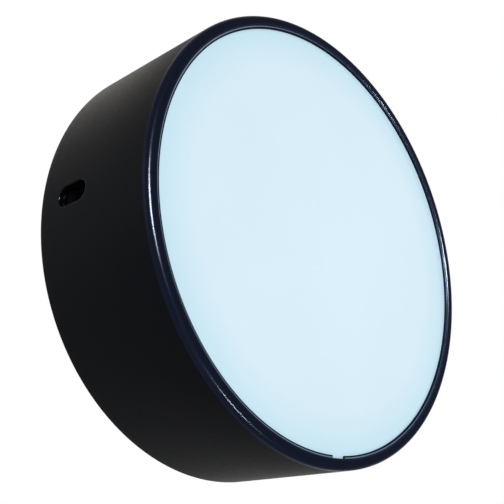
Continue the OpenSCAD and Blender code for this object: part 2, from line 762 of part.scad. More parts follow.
module driver_capacitors() {
    capacitor_d = 10;
    capacitor_h = 11.5;
    color("#27364f") for (at = [[-0.33, 0.18], [-0.33, -0.18], [0.37, 0]])
        translate([at[0] * case_inner_l, at[1] * case_inner_w, parts_z])
            cylinder(d = capacitor_d, h = capacitor_h, $fn = 48);
}

module driver_choke() {
    choke_d = 10;
    choke_h = 8.5;
    flange_h = 1.5;
    color("#2a2a2a") translate([-0.15 * case_inner_l, 0, parts_z]) {
        cylinder(d = choke_d, h = flange_h, $fn = 48);
        cylinder(d = choke_d * 0.7, h = choke_h - 0.5, $fn = 48);
        translate([0, 0, choke_h - flange_h]) cylinder(d = choke_d, h = flange_h, $fn = 48);
    }
}

module driver_chips() {
    chip_l = 6;
    chip_w = 5;
    chip_h = 2;
    color("#111111") for (at = [[0.2, 0.16], [0.2, -0.3], [-0.24, 0.24]])
        translate([at[0] * case_inner_l, at[1] * case_inner_w, parts_z]) cube([chip_l, chip_w, chip_h]);
}

module driver_screws() {
    color("silver") driver_screw_places() translate([0, 0, tray_rear_z + case_t])
        pan_screw(screw_d, case_t + tray_t);
}

// ---- Terminal block and earth ----

// Centres of the block's poles
module at_poles() {
    for (k = [-1 : 1]) translate([block_x, k * pole_pitch, 0]) children();
}

module block_screw_places() {
    for (side = [-1, 1]) translate([block_x, side * (block_w + block_ear_l) / 2, 0]) children();
}

// Three-pole block: a wire channel through each pole, and a well over each clamp
module terminal_block() {
    color("#ece9e0") difference() {
        union() {
            translate([block_x - block_l / 2, -block_w / 2, tray_rear_z]) cube([block_l, block_w, block_h]);
            translate([block_x - block_ear_w / 2, -block_w / 2 - block_ear_l, tray_rear_z])
                cube([block_ear_w, block_w + 2 * block_ear_l, block_flange_h]);
        }
        at_poles() {
            translate([-block_l / 2 - 1, 0, wire_z]) rotate([0, 90, 0])
                cylinder(d = clamp_d + 2 * fit, h = block_l + 2, $fn = 32);
            translate([0, 0, wire_z]) cylinder(d = screw_well_d, h = block_h, $fn = 32);
        }
        block_screw_places() translate([0, 0, tray_rear_z - 1])
            cylinder(d = screw_d + 2 * fit, h = block_flange_h + 2, $fn = 32);
    }
}

// Brass clamp in each pole, with its bore for the wire
module terminal_clamps() {
    clamp_l = 9;
    color("#c9a648") at_poles() difference() {
        translate([-clamp_l / 2, 0, wire_z]) rotate([0, 90, 0]) cylinder(d = clamp_d, h = clamp_l, $fn = 32);
        translate([-clamp_l / 2 - 1, 0, wire_z]) rotate([0, 90, 0])
            cylinder(d = mains_lead_d + 0.6, h = clamp_l + 2, $fn = 32);
        cylinder_well();
    }
}

module cylinder_well() {
    translate([0, 0, wire_z]) cylinder(d = screw_d + 2 * fit, h = block_h, $fn = 32);
}

module terminal_screws() {
    shank_l = 2.6;
    color("#d0d0cc") at_poles() translate([0, 0, wire_z + mains_lead_d / 2 + 0.3]) difference() {
        union() {
            cylinder(d = screw_d, h = shank_l, $fn = 32);
            translate([0, 0, shank_l]) cylinder(d = screw_well_d - 0.4, h = 1.8, $fn = 32);
        }
        translate([-screw_d, -0.4, shank_l + 0.9]) cube([2 * screw_d, 0.8, 2]);
    }
}

module block_screws() {
    color("silver") block_screw_places() translate([0, 0, tray_rear_z + block_flange_h])
        pan_screw(screw_d, block_flange_h + tray_t);
}

// Ring tag that joins the earth lead to the tray
module earth_tag() {
    barrel_d = 4;
    color("#c8c8c8") translate([tag_at[0], tag_at[1], tray_rear_z]) difference() {
        union() {
            cylinder(d = earth_d * 2, h = tag_t, $fn = 48);
            translate([-barrel_d * 0.4, -tag_l, 0]) cube([barrel_d * 0.8, tag_l - 1.5, tag_t]);
            translate([0, -earth_d - 0.2, barrel_d / 2]) rotate([90, 0, 0])
                cylinder(d = barrel_d, h = tag_l - 0.2 - earth_d, $fn = 32);
        }
        translate([0, 0, -1]) cylinder(d = earth_d + 2 * fit, h = 3, $fn = 48);
    }
}

module earth_screw() {
    color("#c8a951") translate([tag_at[0], tag_at[1], tray_rear_z + tag_t]) pan_screw(earth_d, tag_t + tray_t);
}

// ---- Leads ----

module live_lead() {
    color("#6b4226") tube(smooth(live_route, 4), mains_lead_d, [0, 1, 0]);
}

module neutral_lead() {
    color("#2f5fa8") tube(smooth(neutral_route, 4), mains_lead_d, [0, 1, 0]);
}

module earth_lead() {
    color("#5f9c3a") tube(smooth(earth_route, 4), mains_lead_d, [0, 0, 1]);
}

module led_lead(side, shade) {
    color(shade) tube(smooth(led_route(side), 4), led_lead_d, [0, 1, 0]);
}

// ---- Assembly ----

mounting_plate();
soffit_gasket();
cable_grommet();
earth_stud();
earth_nut();
latch_bracket(0);  // latch_bracket_1
latch_bracket(1);  // latch_bracket_2
bracket_rivets();
latch_bolt(0);  // latch_bolt_1
latch_bolt(1);  // latch_bolt_2
latch_clip(0);  // latch_clip_1
latch_clip(1);  // latch_clip_2
latch_spring(0);  // latch_spring_1
latch_spring(1);  // latch_spring_2
drum_housing();
retaining_ring();
diffuser();
diffuser_seal();
reflector_cup();
led_board();
led_chips();
led_connector();
board_screws();
thermal_pad();
heat_tray();
tray_screws();
driver_base();
driver_cover();
driver_circuit_board();
driver_transformer();
transformer_winding();
driver_capacitors();
driver_choke();
driver_chips();
driver_screws();
terminal_block();
terminal_clamps();
terminal_screws();
block_screws();
earth_tag();
earth_screw();
live_lead();
neutral_lead();
earth_lead();
led_lead(1, "#b3261e");  // led_lead_positive
led_lead(-1, "#1b1b1b");  // led_lead_negative
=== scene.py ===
"""A round soffit downlight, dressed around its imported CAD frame. Lengths are in metres.

Z = 0 is the soffit, +Z points up into it, and the light shines towards -Z. The latches lie on -Y and +Y.
"""

import bmesh
import bpy
import numpy as np
from mathutils import Matrix
from mathutils.geometry import delaunay_2d_cdt


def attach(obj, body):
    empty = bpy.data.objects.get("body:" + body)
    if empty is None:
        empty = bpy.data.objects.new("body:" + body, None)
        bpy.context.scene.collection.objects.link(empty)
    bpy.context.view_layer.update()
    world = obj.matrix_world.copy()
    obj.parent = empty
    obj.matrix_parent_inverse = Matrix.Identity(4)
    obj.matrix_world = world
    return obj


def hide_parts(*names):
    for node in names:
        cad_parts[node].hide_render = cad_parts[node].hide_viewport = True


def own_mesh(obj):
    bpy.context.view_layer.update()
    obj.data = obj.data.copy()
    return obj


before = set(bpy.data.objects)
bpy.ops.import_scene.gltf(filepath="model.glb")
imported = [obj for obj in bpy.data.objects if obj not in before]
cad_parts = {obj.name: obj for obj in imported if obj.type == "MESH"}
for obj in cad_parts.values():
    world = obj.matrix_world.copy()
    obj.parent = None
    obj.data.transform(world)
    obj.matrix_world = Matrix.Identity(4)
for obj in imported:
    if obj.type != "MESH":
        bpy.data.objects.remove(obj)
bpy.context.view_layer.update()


# ---- Mounting plate ----
# Round plate pressed from zinc-plated sheet steel. It is screwed to the soffit and carries the whole lamp.
# Its flange is drawn down 3 mm to leave room for the gasket, and a shallow well takes the grommet.

def linear(code):
    """Linear RGBA of an sRGB hex code.

    A channel c becomes c / 12.92 where it is small, or else ((c + 0.055) / 1.055) ** 2.4.
    """
    srgb = np.array([int(code[i:i + 2], 16) for i in (1, 3, 5)]) / 255
    rgb = np.where(srgb > 0.04045, ((srgb + 0.055) / 1.055) ** 2.4, srgb / 12.92)
    return (*rgb.tolist(), 1.0)


def add(tree, kind, values=None, links=None, stops=()):
    """Adds one node: values are its settings or its sockets' values, and links feed its sockets.

    stops holds the places and the hex codes of a colour ramp.
    """
    node = tree.nodes.new("ShaderNode" + kind)
    for name, value in (values or {}).items():
        if isinstance(name, str) and hasattr(node, name):
            setattr(node, name, value)
        else:
            node.inputs[name].default_value = value
    for name, source in (links or {}).items():
        tree.links.new(source, node.inputs[name])
    for i, (place, code) in enumerate(stops):
        element = node.color_ramp.elements[i] if i < 2 else node.color_ramp.elements.new(place)
        element.position, element.color = place, linear(code)
    return node


def empty_material(name):
    """A material with nothing in its node tree, and that tree."""
    material = bpy.data.materials.new(name)
    material.use_nodes = True
    material.node_tree.nodes.clear()
    return material, material.node_tree


def finish(name, dark, light, roughness, size, depth, spread=0.06, stretch=(1, 1, 1), pattern="TexNoise",
           shader=None):
    """A surface whose colour, roughness and height follow one pattern.

    The pattern's features are size metres across, divided along each axis by stretch, and depth metres high.
    Roughness runs from roughness - spread to roughness + spread.
    """
    material, tree = empty_material(name)
    place = add(tree, "TexCoord").outputs["Object"]
    scaled = add(tree, "Mapping", {"Scale": [s / size for s in stretch]}, {"Vector": place}).outputs[0]
    texture = add(tree, pattern, {"Scale": 1.0}, {"Vector": scaled})
    level = texture.outputs["Distance" if pattern == "TexVoronoi" else 0]
    colour = add(tree, "ValToRGB", {}, {"Fac": level},
                 [(pattern_low, dark), (pattern_high, light)]).outputs[0]
    rough = add(tree, "MapRange", {"From Min": pattern_low, "From Max": pattern_high,
                                   "To Min": roughness - spread, "To Max": roughness + spread},
                {"Value": level}).outputs[0]
    relief = add(tree, "Bump", {"Distance": depth, "Strength": 1.0}, {"Height": level}).outputs[0]
    surface = add(tree, "BsdfPrincipled", shader,
                  {"Base Color": colour, "Roughness": rough, "Normal": relief})
    add(tree, "OutputMaterial", {}, {"Surface": surface.outputs[0]})
    return material


def rounded(corners, steps=6, closed=True):
    """An outline through corners (x, y, radius). Each becomes an arc that touches both its sides.

    The arc's centre lies on the corner's bisector, radius / sin(angle / 2) from the corner, and its points
    are the spherical means of its two end directions. An open outline keeps its first and last points.
    """
    corners = np.array(corners, float)
    point = corners[:, :2]
    back, here, ahead = np.roll(point, 1, 0), point, np.roll(point, -1, 0)
    if not closed:
        back, here, ahead, corners = point[:-2], point[1:-1], point[2:], corners[1:-1]
    radius = corners[:, 2:]
    back, ahead = ((v - here) / np.linalg.norm(v - here, axis=1, keepdims=True) for v in (back, ahead))
    angle = np.arccos(np.clip((back * ahead).sum(1, keepdims=True), -1, 1))
    middle = (back + ahead) / np.linalg.norm(back + ahead, axis=1, keepdims=True)
    centre = here + middle * radius / np.sin(angle / 2)
    reach = radius / np.tan(angle / 2)
    start, end = here + back * reach - centre, here + ahead * reach - centre
    t, sweep = np.linspace(0, 1, steps + 1)[None, :, None], (np.pi - angle)[:, :, None]
    arc = (np.sin((1 - t) * sweep) * start[:, None] + np.sin(t * sweep) * end[:, None]) / np.sin(sweep)
    line = (centre[:, None] + arc).reshape(-1, 2)
    return line if closed else np.vstack([point[:1], line, point[-1:]])


def strip(rings, across=False):
    """Quads between neighbouring rings, each ring closed; across also joins the last ring to the first."""
    index = np.arange(rings.shape[0] * rings.shape[1]).reshape(rings.shape[:2])
    if across:
        index = np.vstack([index, index[:1]])
    turned = np.roll(index, -1, 1)
    quads = np.stack([index[:-1], turned[:-1], turned[1:], index[1:]], -1).reshape(-1, 4)
    return rings.reshape(-1, 3), quads


def revolve(profile, centre=(0, 0), steps=360, across=True):
    """Turns a profile (r, z) about the vertical axis at centre: (x + r cos a, y + r sin a, z)."""
    a = np.arange(steps) * 2 * np.pi / steps
    r, z = np.asarray(profile, float).T[:, :, None]
    rings = np.stack([centre[0] + r * np.cos(a), centre[1] + r * np.sin(a), z + 0 * a], -1)
    return strip(rings, across)


def circle(radius, centre=(0, 0), steps=48):
    """Points radius from centre, at equal angles."""
    a = np.arange(steps) * 2 * np.pi / steps
    return np.stack([centre[0] + radius * np.cos(a), centre[1] + radius * np.sin(a)], 1)


def stadium(width, length, centre=(0, 0), steps=16):
    """The outline of a slot along X: two half circles, their centres length - width apart."""
    a = np.linspace(-np.pi / 2, np.pi / 2, steps)
    half = np.stack([(length - width) / 2 + width / 2 * np.cos(a), width / 2 * np.sin(a)], 1)
    return np.vstack([half, -half]) + centre


def flat(outlines, z):
    """A flat face inside the first outline and outside the others, triangulated between their points.

    A triangle stays where a line along +X from its middle crosses the outlines an odd number of times. The
    line from (x, y) crosses an edge from a to b where y lies between them and (b - a) x ((x, y) - a) has the
    sign of by - ay.
    """
    points = np.vstack(outlines)
    starts = np.cumsum([0] + [len(o) for o in outlines])
    edges = [(int(a + i), int(a + (i + 1) % len(o))) for a, o in zip(starts, outlines) for i in range(len(o))]
    found, _, faces, *_ = delaunay_2d_cdt(points.tolist(), edges, [], 1, 1e-9)
    found, faces = np.array(found), np.array(faces)
    x, y = found[faces].mean(1).T[:, :, None]
    (ax, ay), (bx, by) = points[np.array(edges)].transpose(1, 2, 0)
    crosses = ((ay > y) != (by > y)) & (((bx - ax) * (y - ay) - (by - ay) * (x - ax)) * (by - ay) > 0)
    return np.column_stack([found, np.full(len(found), z)]), faces[crosses.sum(1) % 2 == 1]


def wall(outline, low, high):
    """The upright wall of an outline, from z = low to z = high."""
    return strip(np.stack([np.column_stack([outline, np.full(len(outline), z)]) for z in (low, high)]))


def make_piece(name, surfaces, material, body, stands_for=(), bevel=0.0):
    """Joins surfaces of (points, faces) into one mesh.

    The points that meet are welded, and the faces turned outwards. Edges sharper than 35 degrees get a
    bevel, or else stay sharp in the shading.
    """
    sharp = np.radians(35)
    starts = np.cumsum([0] + [len(points) for points, _ in surfaces])
    faces = sum([(np.asarray(quads) + start).tolist() for (_, quads), start in zip(surfaces, starts)], [])
    mesh = bpy.data.meshes.new(name)
    mesh.from_pydata(np.vstack([points for points, _ in surfaces]).tolist(), [], faces)
    work = bmesh.new()
    work.from_mesh(mesh)
    bmesh.ops.remove_doubles(work, verts=work.verts, dist=1e-6)
    bmesh.ops.recalc_face_normals(work, faces=work.faces)
    if bevel:
        edges = [e for e in work.edges if e.calc_face_angle(0) > sharp]
        bmesh.ops.bevel(work, geom=edges, offset=bevel, segments=3, profile=0.5, affect="EDGES",
                        clamp_overlap=True)
    work.to_mesh(mesh)
    work.free()
    mesh.shade_smooth()
    mesh.set_sharp_from_angle(angle=sharp)
    mesh.materials.append(material)
    piece = bpy.data.objects.new(name, mesh)
    bpy.context.scene.collection.objects.link(piece)
    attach(piece, body)
    if stands_for:
        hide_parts(*stands_for)
    return piece


pattern_low = 0.3                  # a pattern's values lie mostly between these two
pattern_high = 0.7
sheet_t = 0.0015
plate_r = 0.084
web_r = 0.069                      # the flat web reaches this far; the drawn flange starts there
flange_z = -0.003
wall_r = 0.0715
bend_r = 0.0004                    # inside the flange's bends; a sheet's thickness more outside them
edge_r = 0.0002
grommet_at = (-0.038, 0.034)
grommet_hole_r = 0.008
well_r = 0.013
lip_r = 0.016                      # where the drawn well meets the web
well_z = -0.002
well_bend_r = 0.001
well_corner_r = 0.0005
screw_ring_r = 0.065
screw_hole_r = 0.00225
long_hole_w = 0.005
long_hole_l = 0.02
long_hole_x = 0.03
# Zinc-plated steel: cool grey, half dull, with faint flow marks 4 mm long from the rolling mill.
zinc_steel = finish("zinc_plated_steel", "#96999b", "#aeb1b3", 0.36, 0.004, 0.000006, 0.07, (1, 14, 1),
                    shader={"Metallic": 1.0})
flange = rounded([(web_r, 0, 0), (wall_r, 0, bend_r + sheet_t), (wall_r, flange_z, bend_r),
                  (plate_r, flange_z, edge_r), (plate_r, flange_z - sheet_t, edge_r),
                  (wall_r - sheet_t, flange_z - sheet_t, bend_r + sheet_t),
                  (wall_r - sheet_t, -sheet_t, bend_r), (web_r, -sheet_t, 0)])
well = rounded([(lip_r, 0, 0), (well_r, 0, well_bend_r), (well_r, well_z, well_corner_r),
                (grommet_hole_r, well_z, 0), (grommet_hole_r, well_z - sheet_t, 0),
                (well_r + sheet_t, well_z - sheet_t, well_bend_r),
                (well_r + sheet_t, -sheet_t, well_corner_r), (lip_r, -sheet_t, 0)])
holes = [circle(screw_hole_r, (screw_ring_r * np.cos(a), screw_ring_r * np.sin(a)), 32)
         for a in np.radians([0, 120, 240])]
holes += [stadium(long_hole_w, long_hole_l, (x, 0)) for x in (-long_hole_x, long_hole_x)]
web = [circle(web_r, steps=360), circle(lip_r, grommet_at, 96)] + holes
make_piece("mounting_plate_pressing",
           [revolve(flange, across=False), revolve(well, grommet_at, 96, across=False),
            flat(web, 0.0), flat(web, -sheet_t)] + [wall(o, -sheet_t, 0.0) for o in holes],
           zinc_steel, "ceiling_side", ["mounting_plate"])


# ---- Soffit gasket ----
# Flat ring die-cut from black closed-cell foam, glued into the plate's flange and pressed against the soffit.
# Its cut edges are a little soft, and its skin shows cells about half a millimetre wide.

gasket_in_r = 0.074
gasket_out_r = 0.0835
foam_front_edge_r = 0.0003
foam_rear_edge_r = 0.0006
foam = finish("closed_cell_foam", "#1b1b1d", "#29292b", 0.92, 0.0006, 0.00008, 0.04, pattern="TexVoronoi")
gasket = rounded([(gasket_in_r, flange_z, foam_front_edge_r), (gasket_out_r, flange_z, foam_front_edge_r),
                  (gasket_out_r, 0, foam_rear_edge_r), (gasket_in_r, 0, foam_rear_edge_r)])
make_piece("soffit_gasket_foam", [revolve(gasket)], foam, "ceiling_side", ["soffit_gasket"])


# ---- Cable grommet ----
# Black rubber grommet, pushed into the plate's hole. A lip sits in the well, and a barbed spout holds it
# below. Moulded rubber is matt, with a fine even grain.

cable_bore_r = 0.0045
head_r = 0.0105
head_z = -0.0005
neck_r = 0.00795
barb_r = 0.01
barb_end_r = 0.009
barb_end_z = -0.005
spout_r = 0.0057
spout_z = -0.008
rubber = finish("moulded_rubber", "#131313", "#1b1b1b", 0.62, 0.0005, 0.00001)
grommet = rounded([(cable_bore_r, head_z, 0.0006), (head_r, head_z, 0.0006), (head_r, well_z, 0.0002),
                   (neck_r, well_z, 0.0001), (neck_r, well_z - sheet_t, 0.0001),
                   (barb_r, well_z - sheet_t, 0.0004), (barb_end_r, barb_end_z, 0.0008),
                   (spout_r, spout_z, 0.0004), (cable_bore_r, spout_z, 0.0003)])
make_piece("cable_grommet_rubber", [revolve(grommet, grommet_at, 96)], rubber, "ceiling_side",
           ["cable_grommet"])


# ---- Earth stud and nut ----
# Brass stud welded under the plate, with a hexagon nut that clamps the earth wire of the supply.
# Turned brass: warm yellow, with fine rings left by the tool.

def dress(material, *nodes):
    """Gives CAD nodes a material."""
    for name in nodes:
        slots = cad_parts[name].data.materials
        slots.clear()
        slots.append(material)


brass = finish("turned_brass", "#b8923f", "#d0ac5c", 0.26, 0.0008, 0.000004, 0.05, (1, 1, 6),
               shader={"Metallic": 1.0})
dress(brass, "earth_stud", "earth_nut")


# ---- Latch brackets and rivets ----
# Two brackets folded from steel sheet and riveted under the plate's flange. Each guides one sprung bolt.
# Their zinc is blackened, so that they don't shine through the slots. The rivets are bright zinc.

bright_zinc = finish("bright_zinc", "#a6a8aa", "#c2c4c6", 0.24, 0.0012, 0.000003, 0.05, (1, 1, 4),
                     shader={"Metallic": 1.0})
black_plating = finish("blackened_zinc_plating", "#08070b", "#0a090d", 0.5, 0.004, 0.000006, 0.05, (1, 14, 1),
                       shader={"IOR": 1.2, "Specular IOR Level": 0.01})
dress(black_plating, "latch_bracket_1", "latch_bracket_2")
dress(bright_zinc, "bracket_rivets")


# ---- Latch bolts, clips and springs ----
# Black acetal bolts that the drum's catches hang on. A screwdriver through each slot presses a bolt inwards
# against its spring, and an open clip on the tail stops it on the way out. The moulded acetal is dull and
# nearly black, so that it doesn't shine through the slot.

def turned(points, side):
    """Turns points from local +X to -Y for side -1, or to +Y for side 1."""
    x, y, z = np.moveaxis(np.asarray(points, float), -1, 0)
    return np.stack([-side * y, side * x, z], -1)


def tube(line, diameter, level, sides=16):
    """A round tube along a line: centre + radius (cos b right + sin b up), its ends closed by shrunk rings.

    right is the direction ahead crossed with level, and up is right crossed with ahead.
    """
    ahead = np.gradient(line, axis=0)
    ahead /= np.linalg.norm(ahead, axis=1, keepdims=True)
    right = np.cross(ahead, level)
    right /= np.linalg.norm(right, axis=1, keepdims=True)
    up = np.cross(right, ahead)
    b = (np.arange(sides) * 2 * np.pi / sides)[None, :, None]
    offset = diameter / 2 * (np.cos(b) * right[:, None] + np.sin(b) * up[:, None])
    rings = line[:, None] + offset
    ends = line[[0, -1]][:, None] + offset[[0, -1]] * 0
    return strip(np.concatenate([ends[:1], rings, ends[1:]]))


acetal = finish("black_acetal", "#08070b", "#0a090d", 0.5, 0.002, 0.000004,
                shader={"IOR": 1.2, "Specular IOR Level": 0.01})
dress(acetal, "latch_bolt_1", "latch_bolt_2")
dress(bright_zinc, "latch_clip_1", "latch_clip_2")
spring_back = 0.0575
spring_l = 0.0085
spring_z = -0.0156
wire_d = 0.0006
wire_inset = wire_d * 0.6          # the wire's middle starts and ends so far inside the spring's length
coil_r = 0.0024
turns = 5.5
t = np.linspace(0, 1, 221)
coil = np.stack([spring_back + wire_inset + (spring_l - 2 * wire_inset) * t,
                 coil_r * np.cos(2 * np.pi * turns * t),
                 spring_z + coil_r * np.sin(2 * np.pi * turns * t)], 1)
for number, side in ((1, -1), (2, 1)):
    points, quads = tube(coil, wire_d, (1, 0, 0), 12)
    spring = make_piece(f"latch_spring_coil_{number}", [(turned(points, side), quads)], bright_zinc,
                        "ceiling_side", [f"latch_spring_{number}"])
    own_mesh(spring)


# ---- Drum housing ----
# One aluminium casting: a drum 180 mm across and 60 mm high with a rounded front rim, a groove for the
# ring, a ledge for the seal, two catches and four bosses. Black powder coat covers it inside and out, slots
# included.

drum_r = 0.09
bore_r = 0.088
opening_r = 0.0856
ledge_r = 0.078
groove_r = 0.087
rear_z = -0.002
ledge_rear_z = -0.0553
ledge_z = -0.0573
groove_rear_z = -0.0602
groove_z = -0.0614
front_z = -0.062
rim_r = 0.002
lip_edge_r = 0.00048
turned_edge_r = 0.0001             # the edges left by the turning tool in the opening
slot_w = 0.0076
slot_l = 0.0155
slot_z = -0.02045
slot_straight = (slot_l - slot_w) / 2         # from the slot's middle to the middle of either round end
slot_edge = 0.0004                 # the coat rounds the slot's edges by this much
window_h = 0.015                   # the window in the grid reaches so far above and below the slot's middle
window_a = 6                       # and so many degrees to each side of it
window_z = np.linspace(slot_z - window_h, slot_z + window_h, 21)
drum_profile = np.vstack([
    np.stack([np.full(len(window_z), drum_r), window_z], 1),
    rounded([(drum_r, window_z[-1], 0), (drum_r, rear_z, 0.0004), (bore_r, rear_z, 0.0003),
             (bore_r, window_z[-1], 0)], 6, closed=False)[1:-1],
    np.stack([np.full(len(window_z), bore_r), window_z[::-1]], 1),
    rounded([(bore_r, window_z[0], 0), (bore_r, ledge_rear_z, 0.0008), (ledge_r, ledge_rear_z, 0.0003),
             (ledge_r, ledge_z, 0.0003), (opening_r, ledge_z, 0.0002),
             (opening_r, groove_rear_z, turned_edge_r), (groove_r, groove_rear_z, turned_edge_r),
             (groove_r, groove_z, turned_edge_r), (opening_r, groove_z, turned_edge_r),
             (opening_r, front_z, lip_edge_r), (drum_r, front_z, rim_r), (drum_r, window_z[0], 0)],
            8, closed=False)[1:-1]])


def slot_patch(angle):
    """The wall round one release slot: from the window in the outer wall, through the slot, to the inner one.

    foot is the point of the slot's centre line nearest to a window point, and each ring lies at
    foot + distance * direction, so that the rings pass from the window's rectangle to the slot's outline.
    """
    columns = np.radians(np.arange(-window_a, window_a + 1))
    rows = window_z - slot_z
    side = np.full(len(rows), columns[-1])
    border = np.vstack([np.stack([columns, np.full(len(columns), rows[0])], 1)[:-1],
                        np.stack([side, rows], 1)[:-1],
                        np.stack([columns[::-1], np.full(len(columns), rows[-1])], 1)[:-1],
                        np.stack([-side, rows[::-1]], 1)[:-1]])
    across = border * [drum_r, 1]
    foot = np.stack([0 * across[:, 0], np.clip(across[:, 1], -slot_straight, slot_straight)], 1)
    way = across - foot
    reach = np.linalg.norm(way, axis=1, keepdims=True)
    way /= reach
    edge = slot_w / 2 + slot_edge
    bend = np.linspace(0, np.pi / 2, 5)
    fan = np.linspace(1, 0, 7)[:-1] ** 1.4
    distance = [edge + (reach - edge) * f for f in fan]
    depth = [0.0] * len(fan)
    for b in bend:
        distance.append(slot_w / 2 + slot_edge * (1 - np.sin(b)))
        depth.append(slot_edge * (1 - np.cos(b)))
    distance += distance[::-1]
    depth += [drum_r - bore_r - d for d in depth[::-1]]
    rings = []
    for d, h in zip(distance, depth):
        u, z = (foot + way * d).T
        a = np.radians(angle) + u / drum_r
        rings.append(np.stack([(drum_r - h) * np.cos(a), (drum_r - h) * np.sin(a), z + slot_z], 1))
    return strip(np.array(rings))


def from_axis(tree, place):
    """How far a place (x, y, z) lies from the lamp's axis: the length of (x, y, 0)."""
    level_place = add(tree, "VectorMath", {"operation": "MULTIPLY", 1: (1, 1, 0)}, {0: place}).outputs[0]
    return add(tree, "VectorMath", {"operation": "LENGTH"}, {0: level_place}).outputs["Value"]


# Powder coat: near black and satin, with an orange peel about 1.5 mm wide and a few microns high. It flows
# out smooth over the slots' edges and the front rim, which are glossier. The rim's navy colour is a painted
# sheen that stands in for the diffuser's cool light on it.
peel_size = 0.0015
peel_height = 0.000004
satin = 0.5
gloss = 0.2
lip_gloss = 0.15                   # the coat gathers along the opening's edge and is glossiest there
rim_start_z = -0.0590              # the satin wall turns into the glossy rim with its painted navy sheen between these two heights
rim_full_z = -0.0602
slot_gloss_w = 0.0003              # a slot's glossy edge fades out over this width
lip_full_w = 0.0005                # the lip's gloss is full up to this far from the opening
lip_end_w = 0.0009                 # and gone this far from it
powder_coat, tree = empty_material("black_powder_coat")
place = add(tree, "TexCoord").outputs["Object"]
parts = add(tree, "SeparateXYZ", {}, {"Vector": place}).outputs
on_rim = add(tree, "MapRange",
             {"interpolation_type": "SMOOTHSTEP", "From Min": rim_start_z, "From Max": rim_full_z},
             {"Value": parts["Z"]}).outputs[0]
along = add(tree, "Math", {"operation": "SUBTRACT", 1: slot_z}, {0: parts["Z"]}).outputs[0]
along = add(tree, "Math", {"operation": "ABSOLUTE"}, {0: along}).outputs[0]
past_end = add(tree, "Math", {"operation": "SUBTRACT", 1: slot_straight}, {0: along}).outputs[0]
past_end = add(tree, "Math", {"operation": "MAXIMUM", 1: 0.0}, {0: past_end}).outputs[0]
from_slot = add(tree, "CombineXYZ", {}, {"X": parts["X"], "Y": past_end}).outputs[0]
from_slot = add(tree, "VectorMath", {"operation": "LENGTH"}, {0: from_slot}).outputs["Value"]
edge_end = slot_w / 2 + slot_edge
at_edge = add(tree, "MapRange",
              {"interpolation_type": "SMOOTHSTEP", "From Min": edge_end + slot_gloss_w, "From Max": edge_end},
              {"Value": from_slot}).outputs[0]
smooth = add(tree, "Math", {"operation": "MAXIMUM"}, {0: on_rim, 1: at_edge}).outputs[0]
at_lip = add(tree, "MapRange",
             {"From Min": opening_r + lip_end_w, "From Max": opening_r + lip_full_w, "To Max": lip_gloss},
             {"Value": from_axis(tree, place)}).outputs[0]
peel = add(tree, "TexNoise", {"Scale": 1 / peel_size}, {"Vector": place}).outputs[0]
wall_tone = add(tree, "ValToRGB", {}, {"Fac": peel},
                [(pattern_low, "#050609"), (pattern_high, "#07080b")]).outputs[0]
# Painted sheen: on the rim the colour turns navy, standing in for the diffuser's cool light.
colour_with_painted_light = add(tree, "MixRGB", {"Color2": linear("#141a2b")}, {"Fac": on_rim, "Color1": wall_tone}).outputs[0]
uneven = add(tree, "MapRange",
             {"From Min": pattern_low, "From Max": pattern_high, "To Min": -0.03, "To Max": 0.03},
             {"Value": peel}).outputs[0]
level = add(tree, "MapRange", {"To Min": satin, "To Max": gloss}, {"Value": smooth}).outputs[0]
rough = add(tree, "Math", {"operation": "ADD"}, {0: level, 1: uneven}).outputs[0]
textured = add(tree, "Math", {"operation": "SUBTRACT", 0: 1.0}, {1: smooth}).outputs[0]
relief = add(tree, "Bump", {"Distance": peel_height}, {"Height": peel, "Strength": textured}).outputs[0]
surface = add(tree, "BsdfPrincipled", {"IOR": 1.25, "Specular IOR Level": 0.07, "Coat Roughness": gloss},
              {"Base Color": colour_with_painted_light, "Roughness": rough, "Normal": relief, "Coat Weight": at_lip})
add(tree, "OutputMaterial", {}, {"Surface": surface.outputs[0]})
points, quads = revolve(drum_profile)
centre = points[quads].mean(1)
turn = np.degrees(np.arctan2(centre[:, 1], centre[:, 0]))
at_slot = np.abs(np.abs(turn) - 90) < window_a
in_rows = (centre[:, 2] > window_z[0]) & (centre[:, 2] < window_z[-1])
on_wall = np.hypot(centre[:, 0], centre[:, 1]) > bore_r - 0.0001
solid_wall = (points, quads[~(at_slot & in_rows & on_wall)])
make_piece("drum_casting", [solid_wall, slot_patch(-90), slot_patch(90)], powder_coat, "lamp",
           ["drum_housing"])


def prism(outline, low, high):
    """A solid with the same outline (x, y) from z = low to z = high."""
    return [wall(outline, low, high), flat([outline], low), flat([outline], high)]


# Each catch hangs on its bolt. Its two cheeks, one on either side of the bolt, stop the drum turning.
root_r = 0.0885                    # the catches and bosses end inside the drum's wall
catch_in_r = 0.0849
catch_x = 0.0069
cheek_in_x = 0.0044
catch_rear_z = -0.0083
catch_z = -0.0123
cheek_z = -0.0206
catch_edge_r = 0.0008
cheek_edge_r = 0.0006
corner_r = 0.0002
catch = rounded([(-catch_x, catch_rear_z, catch_edge_r), (-catch_x, cheek_z, cheek_edge_r),
                 (-cheek_in_x, cheek_z, cheek_edge_r), (-cheek_in_x, catch_z, corner_r),
                 (cheek_in_x, catch_z, corner_r), (cheek_in_x, cheek_z, cheek_edge_r),
                 (catch_x, cheek_z, cheek_edge_r), (catch_x, catch_rear_z, catch_edge_r)])
make_piece("drum_catches",
           [(turned(points[:, [2, 0, 1]], side), quads)
            for side in (-1, 1) for points, quads in prism(catch, catch_in_r, root_r)],
           powder_coat, "lamp", bevel=0.0003)

